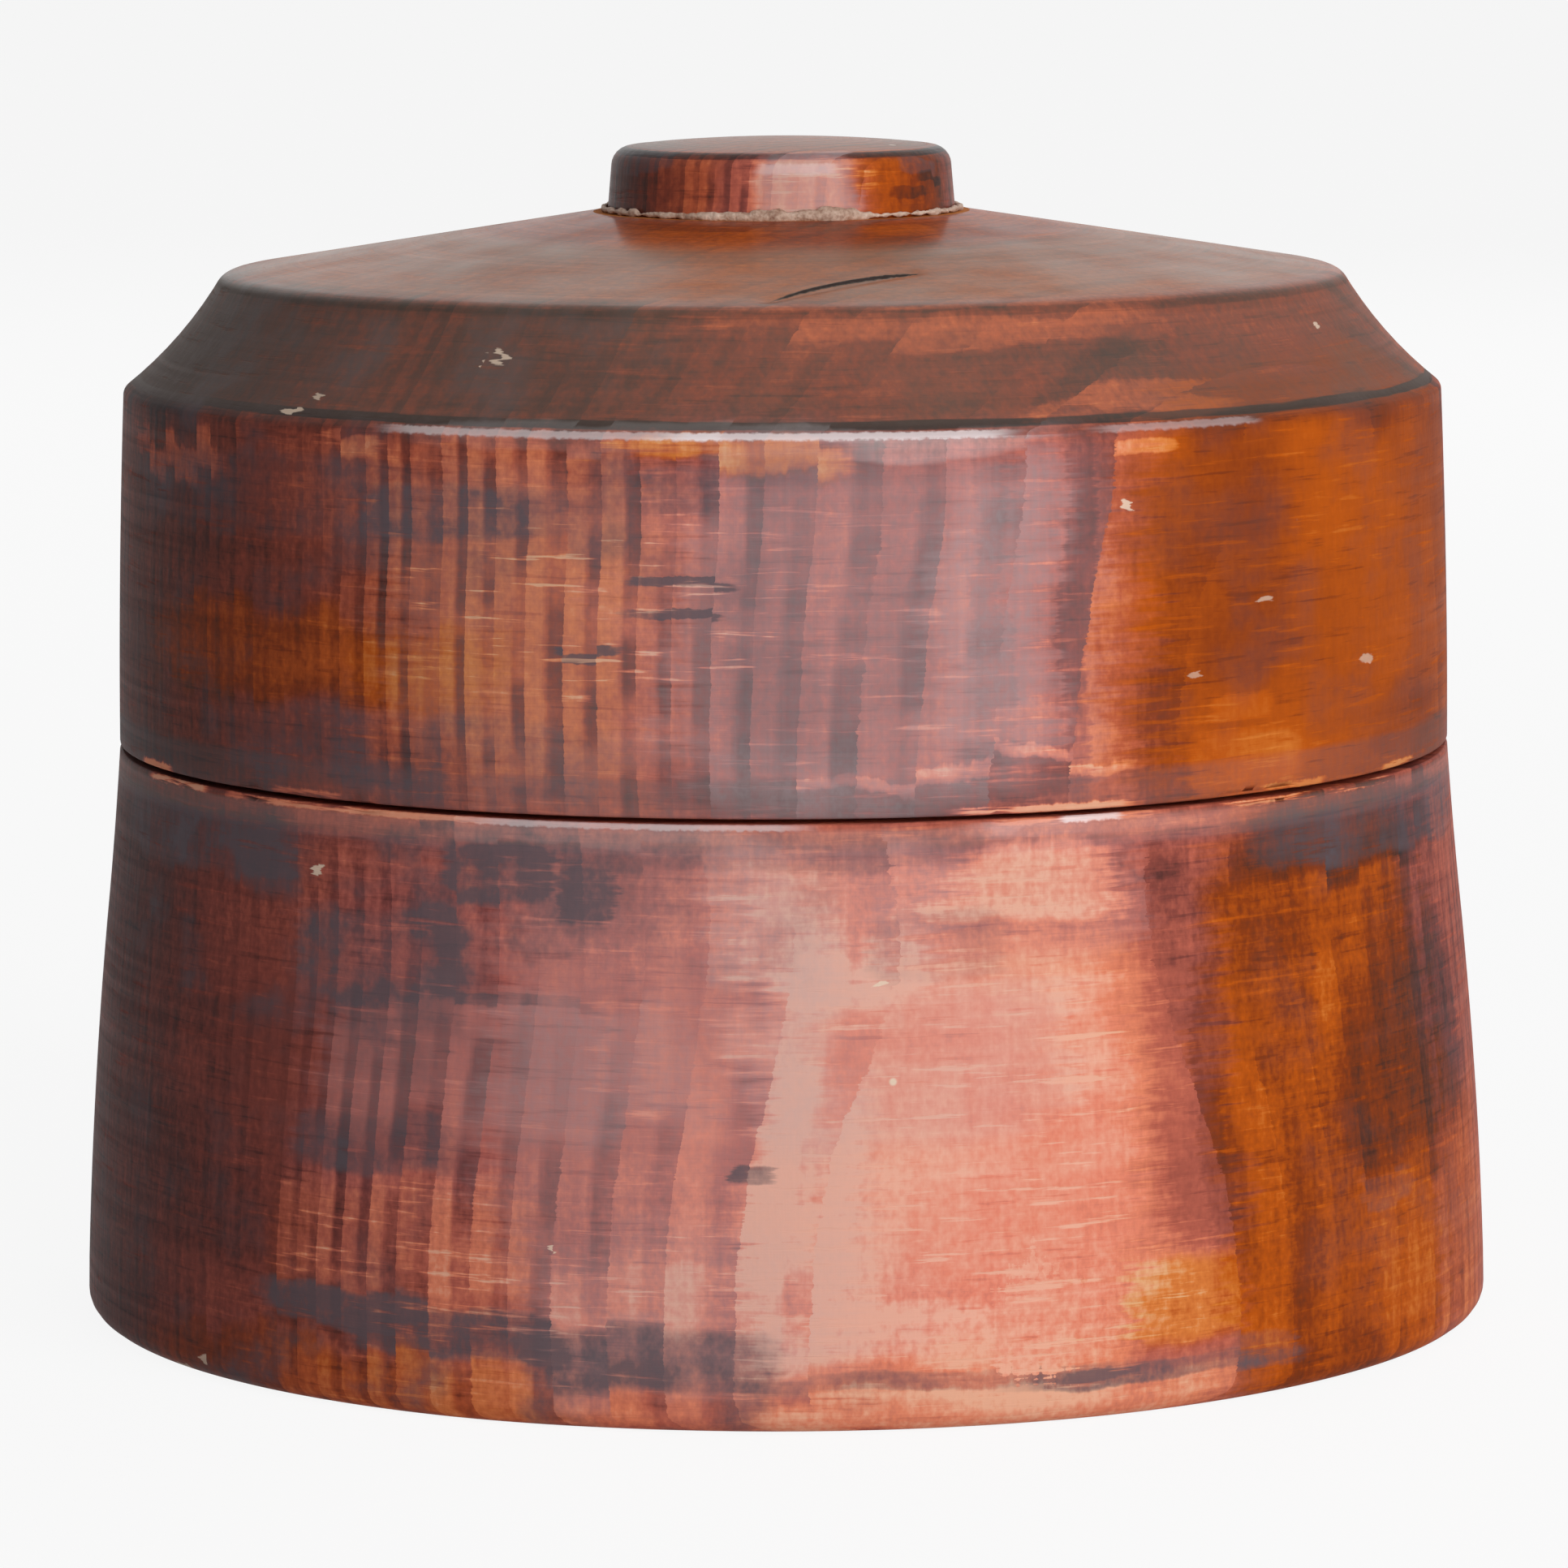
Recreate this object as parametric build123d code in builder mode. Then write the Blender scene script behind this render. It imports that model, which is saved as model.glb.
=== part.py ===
from build123d import *

import os

# Round box turned in wood: a flared base, a lift-off lid and a disc knob glued into the lid.
# Millimetres, +Z up. The origin is the middle of the foot, on the surface that the box stands on.
# Every piece is turned about the Z axis, so each one is half of its section, spun round that axis.

# Driving dimensions of the base
seam_diameter = 122.7  # outside, where the lid meets the base
base_flare = 3.65  # how much further out the foot stands than the seam
shoulder_height = 52.4  # from the foot up to the shoulder under the lid
flank_turn_drop = 16.2  # below the shoulder, where the flank turns from bulging to hollow
flank_turn_out = 1.45  # how much further out than the seam the flank is there
flank_lean = 5.3  # what the flank would come in over its whole height at the slope it has there
foot_round = 2.0  # rounded lower edge
foot_ring_width = 9.0  # flat ring that the box stands on, with its rounded edge
foot_recess = 0.8  # hollow turned inside that ring
floor_thickness = 8.0
floor_round = 6.0  # where the inside wall meets the floor

# Driving dimensions of the lid's seat on the base
spigot_wall = 3.5  # collar that stands up inside the lid
spigot_height = 8.0
spigot_lead = 0.5  # eased edges of the collar and its socket, which guide the lid on
lid_clearance = 0.3  # between the collar and the lid, all round
lid_rim_wall = 3.5  # wall of the lid outside the collar
seam_gap = 0.4  # the lid rests on the collar, so the seam stays this far open
seam_edge_round = 0.3  # worn edges either side of the seam

# Driving dimensions of the lid
lid_wall_height = 32.5  # from its rim up to the shoulder
lid_lean = 0.75  # how far its wall leans in by then
shoulder_round = 0.9
cove_height = 10.5  # hollow slope above the shoulder
cove_width = 9.2
cove_sag = 0.65  # depth of that hollow
cove_edge_round = 2.0
top_rise = 5.4  # from the cove's upper edge to the flat under the knob
lid_top_thickness = 12.0  # at that flat
ceiling_round = 10.0  # where the inside wall meets the ceiling

# Driving dimensions of the knob and its joint
knob_diameter = 32.0  # at its foot
knob_taper = 0.5  # how much less its radius is at the top
knob_height = 5.85
knob_edge_round = 1.8
knob_crown = 0.9  # rise of its top in the middle
tenon_diameter = 12.0
tenon_chamfer = 0.6
tenon_clearance = 0.1  # room for glue round the tenon
tenon_end_gap = 0.5  # room for glue below it
tenon_hole_floor = 3.5  # wood left between its hole and the ceiling
bead_width = 1.3  # glue pressed out round the knob's foot
bead_height = 1.0
bead_sag = 0.2

# Radii that follow from them
seam_radius = seam_diameter / 2
foot_radius = seam_radius + base_flare
recess_radius = foot_radius - foot_ring_width
flank_turn_radius = seam_radius + flank_turn_out
socket_radius = seam_radius - lid_rim_wall
spigot_radius = socket_radius - lid_clearance
bore_radius = spigot_radius - spigot_wall
shoulder_radius = seam_radius - lid_lean
cove_top_radius = shoulder_radius - cove_width
knob_radius = knob_diameter / 2
knob_top_radius = knob_radius - knob_taper
tenon_radius = tenon_diameter / 2
flat_radius = knob_radius + bead_width

# Heights that follow from them
flank_turn_height = shoulder_height - flank_turn_drop
spigot_top = shoulder_height + spigot_height
rim_height = shoulder_height + seam_gap
lid_shoulder_height = rim_height + lid_wall_height
cove_top_height = lid_shoulder_height + cove_height
flat_height = cove_top_height + top_rise
ceiling_height = flat_height - lid_top_thickness
tenon_hole_depth = lid_top_thickness - tenon_hole_floor
tenon_end = flat_height - tenon_hole_depth + tenon_end_gap
knob_edge_height = flat_height + knob_height


def corner(section, radius, height):
    """The corner of a half section that lies nearest to that radius and height."""
    return section.vertices().sort_by_distance((radius, height))[0]


def ring(piece, radius, height):
    """The circular edge of a turned piece that lies nearest to that radius and height."""
    circles = piece.edges().filter_by(GeomType.CIRCLE)
    return circles.sort_by(lambda edge: abs(edge.radius - radius) + abs(edge.arc_center.Z - height))[0]


# Base: flared outside, round hollow inside, with the collar for the lid in the same piece of wood
with BuildPart() as box_base:
    with BuildSketch(Plane.XZ) as base_section:
        with BuildLine():
            foot_edge = (foot_radius - foot_round, 0)
            flank_foot = (foot_radius, foot_round)
            flank_turn = (flank_turn_radius, flank_turn_height)
            seam_edge = (seam_radius, shoulder_height)
            Polyline((0, foot_recess), (recess_radius, foot_recess), (recess_radius, 0), foot_edge)
            RadiusArc(foot_edge, flank_foot, -foot_round)
            TangentArc(flank_turn, flank_foot, tangent=(flank_lean, -shoulder_height))
            TangentArc(flank_turn, seam_edge, tangent=(-flank_lean, shoulder_height))
            Polyline(
                seam_edge,
                (spigot_radius, shoulder_height),
                (spigot_radius, spigot_top),
                (bore_radius, spigot_top),
                (bore_radius, floor_thickness),
                (0, floor_thickness),
                (0, foot_recess),
            )
        make_face()
        fillet(corner(base_section, bore_radius, floor_thickness), radius=floor_round)
        chamfer(corner(base_section, spigot_radius, spigot_top), length=spigot_lead)
        chamfer(corner(base_section, bore_radius, spigot_top), length=spigot_lead)
    revolve(axis=Axis.Z)
    fillet(ring(box_base, seam_radius, shoulder_height), radius=seam_edge_round)

# Lid: hollow below, with a socket for the collar, a coved shoulder and a low conical top
with BuildPart() as lid:
    with BuildSketch(Plane.XZ) as lid_section:
        with BuildLine():
            rim_edge = (seam_radius, rim_height)
            shoulder_edge = (shoulder_radius, lid_shoulder_height)
            cove_edge = (cove_top_radius, cove_top_height)
            TangentArc(rim_edge, shoulder_edge, tangent=(0, lid_wall_height))
            SagittaArc(shoulder_edge, cove_edge, cove_sag)
            Polyline(
                cove_edge,
                (flat_radius, flat_height),
                (0, flat_height),
                (0, ceiling_height),
                (bore_radius, ceiling_height),
                (bore_radius, spigot_top),
                (socket_radius, spigot_top),
                (socket_radius, rim_height),
                rim_edge,
            )
        make_face()
        fillet(corner(lid_section, bore_radius, ceiling_height), radius=ceiling_round)
        chamfer(corner(lid_section, socket_radius, rim_height), length=spigot_lead)
    revolve(axis=Axis.Z)
    fillet(ring(lid, seam_radius, rim_height), radius=seam_edge_round)
    fillet(ring(lid, shoulder_radius, lid_shoulder_height), radius=shoulder_round)
    fillet(ring(lid, cove_top_radius, cove_top_height), radius=cove_edge_round)
    with Locations((0, 0, flat_height)):
        Hole(radius=tenon_radius + tenon_clearance, depth=tenon_hole_depth)

# Knob: a low disc with a crowned top, and a tenon that is glued into the lid
with BuildPart() as lid_knob:
    with BuildSketch(Plane.XZ) as knob_section:
        with BuildLine():
            knob_edge = (knob_top_radius, knob_edge_height)
            crown_top = (0, knob_edge_height + knob_crown)
            Polyline(
                crown_top,
                (0, tenon_end),
                (tenon_radius, tenon_end),
                (tenon_radius, flat_height),
                (knob_radius, flat_height),
                knob_edge,
            )
            TangentArc(crown_top, knob_edge, tangent=(knob_top_radius, 0))
        make_face()
        chamfer(corner(knob_section, tenon_radius, tenon_end), length=tenon_chamfer)
    revolve(axis=Axis.Z)
    fillet(ring(lid_knob, knob_top_radius, knob_edge_height), radius=knob_edge_round)

# Glue bead: what was pressed out of the joint, dried in the corner round the knob's foot
with BuildPart() as knob_glue_bead:
    with BuildSketch(Plane.XZ):
        with BuildLine():
            bead_foot = (flat_radius, flat_height)
            bead_top = (knob_radius - knob_taper * bead_height / knob_height, flat_height + bead_height)
            Polyline(bead_top, (knob_radius, flat_height), bead_foot)
            SagittaArc(bead_foot, bead_top, -bead_sag)
        make_face()
    revolve(axis=Axis.Z)

os.makedirs("parts", exist_ok=True)

box_base.part.label = "box_base"
export_step(box_base.part, "parts/box_base.step")

lid.part.label = "lid"
export_step(lid.part, "parts/lid.step")

lid_knob.part.label = "lid_knob"
export_step(lid_knob.part, "parts/lid_knob.step")

knob_glue_bead.part.label = "knob_glue_bead"
export_step(knob_glue_bead.part, "parts/knob_glue_bead.step")
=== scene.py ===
# %% [markdown]
# A round box turned in softwood, with a lift-off lid and a disc knob.
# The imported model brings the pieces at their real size, and this lesson gives them their looks:
# sections turned on a lathe of nodes, and an old stained finish in which amber, rose and plum
# meet along the growth rings. First the model is loaded, and its boxes are kept for later.

# %% Load the model
import math

import bmesh
import bpy
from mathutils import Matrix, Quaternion, Vector


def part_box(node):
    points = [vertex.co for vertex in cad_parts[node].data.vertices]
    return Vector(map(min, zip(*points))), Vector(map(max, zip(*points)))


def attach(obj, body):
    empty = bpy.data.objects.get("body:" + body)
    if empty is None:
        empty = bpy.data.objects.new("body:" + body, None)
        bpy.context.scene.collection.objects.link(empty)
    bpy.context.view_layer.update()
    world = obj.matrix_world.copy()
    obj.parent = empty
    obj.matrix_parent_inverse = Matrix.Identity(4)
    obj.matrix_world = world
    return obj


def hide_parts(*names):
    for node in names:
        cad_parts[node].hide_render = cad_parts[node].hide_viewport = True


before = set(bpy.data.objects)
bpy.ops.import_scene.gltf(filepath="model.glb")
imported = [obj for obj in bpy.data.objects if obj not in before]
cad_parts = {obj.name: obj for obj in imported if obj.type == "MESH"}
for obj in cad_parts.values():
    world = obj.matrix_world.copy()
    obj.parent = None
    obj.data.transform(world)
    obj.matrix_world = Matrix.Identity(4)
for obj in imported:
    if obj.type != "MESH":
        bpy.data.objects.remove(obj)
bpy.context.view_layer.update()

MM = 0.001
base_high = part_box("box_base")[1] / MM
lid_low, lid_high = (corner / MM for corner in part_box("lid"))
knob_low, knob_high = (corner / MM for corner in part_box("lid_knob"))
bead_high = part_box("knob_glue_bead")[1] / MM
print("base", base_high, "lid", lid_low, lid_high, "knob", knob_high)

# %% [markdown]
# The camera stands in front of the box and a little above it, looking down by about 7 degrees.
# A long lens from three quarters of a metre keeps the sides of the box nearly upright.

# %% Camera
CAMERA_BACK = 756.1
CAMERA_UP = 145.5
AIM_UP = 48.0
LENS = 188.64
CAMERA_ROLL = -0.25

camera = bpy.data.objects.new("camera", bpy.data.cameras.new("camera"))
bpy.context.scene.collection.objects.link(camera)
camera.data.lens = LENS
camera.data.clip_start = 10 * MM
camera.location = Vector((0, -CAMERA_BACK, CAMERA_UP)) * MM
aim = Vector((0, CAMERA_BACK, AIM_UP - CAMERA_UP))
level = aim.to_track_quat("-Z", "Y")
roll = Quaternion((0, 0, 1), math.radians(CAMERA_ROLL))
camera.rotation_euler = (level @ roll).to_euler()
bpy.context.scene.camera = camera
bpy.context.scene.view_settings.view_transform = "Standard"
print("camera looks down by", round(math.degrees(math.atan2(CAMERA_UP - AIM_UP, CAMERA_BACK)), 2))

# %% [markdown]
# Both the finish and the shapes need node trees, and long chains of nodes are hard to read.
# A Wire stands for one socket, so that sums and products can be written as plain Python, and a
# Bench adds any other node by its type, its settings and what goes into its sockets.


# %% Wires and benches
class Wire:
    """One output socket. Arithmetic on it adds Math nodes to its tree."""

    def __init__(self, bench, socket):
        self.bench = bench
        self.socket = socket

    def math(self, operation, *others):
        return self.bench.math(operation, self, *others)

    def __add__(self, other):
        return self.math("ADD", other)

    def __sub__(self, other):
        return self.math("SUBTRACT", other)

    def __mul__(self, other):
        return self.math("MULTIPLY", other)

    def __truediv__(self, other):
        return self.math("DIVIDE", other)

    def __rsub__(self, other):
        return self.bench.math("SUBTRACT", other, self)

    def __gt__(self, other):
        return self.math("GREATER_THAN", other)

    def __lt__(self, other):
        return self.math("LESS_THAN", other)

    __radd__ = __add__
    __rmul__ = __mul__

    def rise(self, low, high):
        """0 below low and 1 above high, with an eased step. It falls where low is above high."""
        ends = (low, high, 0.0, 1.0) if low < high else (high, low, 1.0, 0.0)
        sockets = {0: self, **dict(enumerate(ends, 1))}
        return self.bench.node("ShaderNodeMapRange", {"interpolation_type": "SMOOTHSTEP"}, sockets)

    def swing(self, size):
        """How far a noise lies above or below its middle, times a size."""
        return (self - 0.5) * size

    def held(self, low, high):
        """Kept between two values."""
        return self.math("MAXIMUM", low).math("MINIMUM", high)


class Bench:
    """A node tree to work at."""

    def __init__(self, tree):
        self.tree = tree

    def node(self, kind, settings=None, inputs=None, out=0):
        made = self.tree.nodes.new(kind)
        for name, value in (settings or {}).items():
            if name == "stops":
                self.fill_ramp(made.color_ramp, value)
            else:
                setattr(made, name, value)
        for key, value in (inputs or {}).items():
            if isinstance(value, Wire):
                self.tree.links.new(value.socket, made.inputs[key])
            else:
                made.inputs[key].default_value = value
        return Wire(self, made.outputs[out])

    def other(self, wire, out):
        """Another output of the node that a wire comes from."""
        return Wire(self, wire.socket.node.outputs[out])

    def fill_ramp(self, ramp, stops):
        while len(ramp.elements) < len(stops):
            ramp.elements.new(0.5)
        for element, (place, colour) in zip(ramp.elements, stops):
            element.position = place
            element.color = (*colour, 1.0)

    def math(self, operation, *values):
        return self.node("ShaderNodeMath", {"operation": operation}, dict(enumerate(values)))

    def vector(self, x, y, z):
        return self.node("ShaderNodeCombineXYZ", None, {0: x, 1: y, 2: z})

    def vector_math(self, operation, *values):
        out = 1 if operation in ("DOT_PRODUCT", "DISTANCE") else 0
        return self.node("ShaderNodeVectorMath", {"operation": operation}, dict(enumerate(values)), out)

    def scaled(self, vector, factor):
        return self.node("ShaderNodeVectorMath", {"operation": "SCALE"}, {0: vector, "Scale": factor})

    def parts(self, vector):
        first = self.node("ShaderNodeSeparateXYZ", None, {0: vector})
        return first, self.other(first, 1), self.other(first, 2)

    def noise(self, vector, detail=3.0, roughness=0.55, out=0):
        sockets = {"Vector": vector, "Scale": 1.0, "Detail": detail, "Roughness": roughness}
        return self.node("ShaderNodeTexNoise", {"noise_dimensions": "3D"}, sockets, out)

    def blend(self, share, first, second):
        return self.node("ShaderNodeMix", {"data_type": "RGBA"}, {0: share, 6: first, 7: second}, 2)

    def ramp(self, stops, place):
        return self.node("ShaderNodeValToRGB", {"stops": stops}, {0: place})

    def finish(self, kind, result):
        """Ends the tree with an output node of that kind."""
        end = self.tree.nodes.new(kind)
        self.tree.links.new(result.socket, end.inputs[0])


def blank_paint(name):
    """An empty material, and a bench for its nodes."""
    paint = bpy.data.materials.new(name)
    paint.use_nodes = True
    paint.node_tree.nodes.clear()
    return paint, Bench(paint.node_tree)


# %% [markdown]
# The box stands on a wide pale floor. A large soft lamp to the right of the camera is the key,
# a weak one on the left opens the shadow side, and a third behind the box lights its back without
# showing in the gloss. The surroundings look white, but give little light.

# %% Stage
FLOOR_REACH = 9.0
FLOOR_PALE = 0.86
FLOOR_GLOW = 0.9
SKY_LIGHT = 0.15
WHITE = (1.0, 1.0, 1.0, 1.0)


def lamp(name, bearing, rise, distance, size, power, mirrored=True):
    """A square soft lamp that faces the box, placed by bearing and rise. Gloss can mirror it or not."""
    made = bpy.data.objects.new(name, bpy.data.lights.new(name, "AREA"))
    bpy.context.scene.collection.objects.link(made)
    turn = math.radians(bearing)
    up = math.radians(rise)
    away = Vector((math.sin(turn) * math.cos(up), -math.cos(turn) * math.cos(up), math.sin(up)))
    made.location = Vector((0, 0, AIM_UP * MM)) + away * distance
    made.rotation_euler = (-away).to_track_quat("-Z", "Y").to_euler()
    made.data.size = size
    made.data.energy = power
    made.visible_glossy = mirrored


def see_white(bench, seen_strength, light_strength):
    """Strength for rays that show the background, and another for rays that carry light."""
    camera_ray = bench.node("ShaderNodeLightPath")
    glossy_ray = bench.other(camera_ray, "Is Glossy Ray")
    seen = camera_ray + glossy_ray + bench.other(camera_ray, "Is Transmission Ray")
    return seen.rise(0.0, 1.0) * (seen_strength - light_strength) + light_strength


def pale_surroundings():
    world = bpy.data.worlds.new("pale_surroundings")
    world.use_nodes = True
    world.node_tree.nodes.clear()
    bench = Bench(world.node_tree)
    strength = see_white(bench, 1.0, SKY_LIGHT)
    light = bench.node("ShaderNodeBackground", None, {0: WHITE, 1: strength})
    bench.finish("ShaderNodeOutputWorld", light)
    bpy.context.scene.world = world


def pale_floor():
    mesh = bpy.data.meshes.new("floor")
    shape = bmesh.new()
    bmesh.ops.create_grid(shape, x_segments=1, y_segments=1, size=FLOOR_REACH)
    shape.to_mesh(mesh)
    shape.free()
    floor = bpy.data.objects.new("floor", mesh)
    bpy.context.scene.collection.objects.link(floor)
    paint, bench = blank_paint("pale_floor")
    matt = bench.node("ShaderNodeBsdfDiffuse", None, {0: (FLOOR_PALE, FLOOR_PALE, FLOOR_PALE, 1.0)})
    glow = bench.node("ShaderNodeEmission", None, {0: WHITE, 1: 1.0})
    share = see_white(bench, FLOOR_GLOW, 0.0)
    both = bench.node("ShaderNodeMixShader", None, {0: share, 1: matt, 2: glow})
    bench.finish("ShaderNodeOutputMaterial", both)
    mesh.materials.append(paint)


pale_surroundings()
pale_floor()
lamp("key_softbox", bearing=32, rise=22, distance=1.1, size=0.85, power=9.5)
lamp("left_fill", bearing=-60, rise=35, distance=1.3, size=0.9, power=0.5)
lamp("back_fill", bearing=165, rise=32, distance=1.3, size=0.9, power=4.0, mirrored=False)
print("stage ready")

# %% [markdown]
# On the lathe every piece is one section, spun round the upright axis. A section is written as
# its corners, each with the radius that rounds it. Straight runs are cut into short steps, so
# that the wear which comes later has points to move.

# %% Sections
ROUND_CUTS = 6


def bow(start, end, sag, cuts):
    """Points between two corners on a shallow arc that stands sag to the right of the way there."""
    start, end = Vector(start), Vector(end)
    side = Vector(((end - start).y, -(end - start).x)).normalized()
    shares = [cut / cuts for cut in range(1, cuts)]
    return [(*(start.lerp(end, s) + side * sag * 4 * s * (1 - s)), 0.0) for s in shares]


def rounded(corners):
    """Points of a section: every corner is (radius, height, rounding), in mm."""
    points = []
    for index, (radius, height, rounding) in enumerate(corners):
        here = Vector((radius, height))
        if rounding == 0:
            points.append(here)
            continue
        before = (Vector(corners[index - 1][:2]) - here).normalized()
        after = (Vector(corners[index + 1][:2]) - here).normalized()
        half = before.angle(after) / 2
        centre = here + (before + after).normalized() * rounding / math.sin(half)
        reach = rounding / math.tan(half)
        first, last = here + before * reach - centre, here + after * reach - centre
        for cut in range(ROUND_CUTS + 1):
            points.append(centre + first.lerp(last, cut / ROUND_CUTS).normalized() * rounding)
    return points


def stepped(points, step):
    """The same points with every run cut to steps no longer than that."""
    cut_points = [points[0]]
    for start, end in zip(points, points[1:]):
        cuts = max(1, math.ceil((end - start).length / step))
        cut_points += [start.lerp(end, cut / cuts) for cut in range(1, cuts + 1)]
    return cut_points


def run_length(points):
    return sum((end - start).length for start, end in zip(points, points[1:]))


# %% [markdown]
# The base: a recessed foot, a flank that bulges below and hollows a little under the seam, a
# collar for the lid, and a plain round hollow. Outside it has a fine step and inside a coarse one.

# %% Base section
OUTSIDE_STEP = 0.8
INSIDE_STEP = 4.0
FOOT_ROUND = 2.0
FOOT_RECESS = 0.8
FOOT_LOW = 0.004
FOOT_RING_WIDTH = 9.0
FLANK_TURN_OUT = 1.45
FLANK_TURN_DROP = 16.2
foot_radius = base_high.x
recess_radius = foot_radius - FOOT_RING_WIDTH
spigot_top = base_high.z
seam_radius = lid_high.x
rim_height = lid_low.z
seam_gap = 0.4
shoulder_height = rim_height - seam_gap
floor_height = 8.0
bore_radius = 54.05
spigot_radius = 57.55
socket_radius = 57.85
flank_turn = (seam_radius + FLANK_TURN_OUT, shoulder_height - FLANK_TURN_DROP)
seam_edge_round = 0.3

base_under = [(0, FOOT_RECESS, 0), (recess_radius, FOOT_RECESS, 0), (recess_radius, FOOT_LOW, 0)]
base_outside = [
    (recess_radius, FOOT_LOW, 0),
    (foot_radius, FOOT_LOW, FOOT_ROUND),
    *bow((foot_radius, FOOT_ROUND), flank_turn, sag=0.31, cuts=12),
    (*flank_turn, 0),
    *bow(flank_turn, (seam_radius, shoulder_height), sag=-0.08, cuts=6),
    (seam_radius, shoulder_height, seam_edge_round),
    (spigot_radius, shoulder_height, 0),
]
base_inside = [
    (spigot_radius, shoulder_height, 0),
    (spigot_radius, spigot_top, 0.5),
    (bore_radius, spigot_top, 0.5),
    (bore_radius, floor_height, 6.0),
    (0, floor_height, 0),
]
under = stepped(rounded(base_under), INSIDE_STEP)
outside = stepped(rounded(base_outside), OUTSIDE_STEP)
inside = stepped(rounded(base_inside), INSIDE_STEP)
base_section = under + outside[1:] + inside[1:]
foot_turn = Vector((foot_radius - FOOT_ROUND, 0))
flat_points = outside.index(min(outside, key=lambda point: (point - foot_turn).length))
base_start = run_length(under) + run_length(outside[:flat_points])
base_end = run_length(under) + run_length(outside)
print("base section", len(base_section), "points, outside from", round(base_start, 2))

# %% [markdown]
# The lid: a hollow with a socket for the collar, an upright wall, a coved shoulder and a low
# conical top with a flat and a blind hole for the knob.

# %% Lid section
LID_WALL_HEIGHT = 32.5
COVE_HEIGHT = 10.5
LID_TOP_THICKNESS = 12.0
HOLE_DEPTH = 8.5
flat_height = lid_high.z
flat_radius = bead_high.x
lid_shoulder = (60.6, rim_height + LID_WALL_HEIGHT)
cove_edge = (51.4, lid_shoulder[1] + COVE_HEIGHT)
ceiling_height = flat_height - LID_TOP_THICKNESS
hole_radius = 6.1
rim_middle = 59.5

lid_inside = [
    (0, ceiling_height, 0),
    (bore_radius, ceiling_height, 10.0),
    (bore_radius, spigot_top, 0),
    (socket_radius, spigot_top, 0),
    (socket_radius, rim_height, 0.5),
    (rim_middle, rim_height, 0),
]
lid_outside = [
    (rim_middle, rim_height, 0),
    (seam_radius, rim_height, seam_edge_round),
    *bow((seam_radius, rim_height), lid_shoulder, sag=0.17, cuts=12),
    (*lid_shoulder, 0.9),
    *bow(lid_shoulder, cove_edge, sag=-0.65, cuts=8),
    (*cove_edge, 2.0),
    (flat_radius, flat_height, 0),
]
lid_land = [
    (flat_radius, flat_height, 0),
    (hole_radius, flat_height, 0),
    (hole_radius, flat_height - HOLE_DEPTH, 0),
    (0, flat_height - HOLE_DEPTH, 0),
]
inside = stepped(rounded(lid_inside), INSIDE_STEP)
outside = stepped(rounded(lid_outside), OUTSIDE_STEP)
land = stepped(rounded(lid_land), INSIDE_STEP)
lid_section = inside + outside[1:] + land[1:]
lid_start = run_length(inside) + seam_radius - rim_middle
lid_end = run_length(inside) + run_length(outside)
print("lid section", len(lid_section), "points")

# %% [markdown]
# The knob: a tenon that sits in the lid's blind hole, and a low disc with a soft edge and a
# slightly crowned top.

# %% Knob section
KNOB_TAPER = 0.5
KNOB_CROWN = 0.89
KNOB_STEP = 0.4
TOP_SPARE = 0.01
knob_radius = knob_high.x
tenon_radius = 6.0
knob_top = knob_high.z - TOP_SPARE
knob_edge = (knob_radius - KNOB_TAPER, knob_top - KNOB_CROWN)
tenon = [
    (0, knob_low.z, 0),
    (tenon_radius, knob_low.z, 0.6),
    (tenon_radius, flat_height, 0),
    (knob_radius, flat_height, 0),
]
disc = [
    (knob_radius, flat_height, 0),
    (*knob_edge, 1.8),
    *bow(knob_edge, (0, knob_top), sag=0.22, cuts=12)[2:],
    (0, knob_top, 0),
]
hidden = stepped(rounded(tenon), INSIDE_STEP)
shown = stepped(rounded(disc), KNOB_STEP)
knob_section = hidden + shown[1:]
knob_start = run_length(hidden)
knob_end = run_length(knob_section)
print("knob section", len(knob_section), "points")

# %% [markdown]
# The lathe itself is a tree of nodes. It sweeps the section round a circle, remembers on every
# point how far along the section it lies, wears the outside slightly out of true, breaks small
# chips out of the lips at the seam, and opens the drying crack in the top of the lid. Waves are
# counted to a metre, and reaches are in mm.

# %% Lathe tree
SPIN_RADIUS = 30.0
WELD_DISTANCE = 1e-6
DRIFT_WAVES = 22.0
DRIFT_CREST = 0.7
SLIVER_WAVES = 260.0
BREAK_WAVES = 38.0
CHIP_SHARE = 0.8
CHIP_LEVELS = (0.90, 1.02)
LIP_REACH = (0.6, 0.1)
CRACK_REACH = 0.9


def add_sockets(tree, sockets):
    """Named inputs of a tree, with the identifiers that a modifier is set by."""
    tree.interface.new_socket("Geometry", in_out="OUTPUT", socket_type="NodeSocketGeometry")
    found = {}
    for name, kind in sockets.items():
        made = tree.interface.new_socket(name, in_out="INPUT", socket_type="NodeSocket" + kind)
        found[name] = made.identifier
    return found


def open_tree(tree, inputs):
    """A bench for a tree, and the tree's inputs as wires."""
    bench = Bench(tree)
    given = tree.nodes.new("NodeGroupInput")
    return bench, {name: Wire(bench, given.outputs[name]) for name in inputs}


def close_tree(bench, body, finish):
    """Smooth shading, real geometry and a finish, and then the end of the tree."""
    body = bench.node("GeometryNodeSetShadeSmooth", None, {"Geometry": body})
    body = bench.node("GeometryNodeRealizeInstances", None, {"Geometry": body})
    body = bench.node("GeometryNodeSetMaterial", None, {"Geometry": body, "Material": finish})
    bench.finish("NodeGroupOutput", body)


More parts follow.
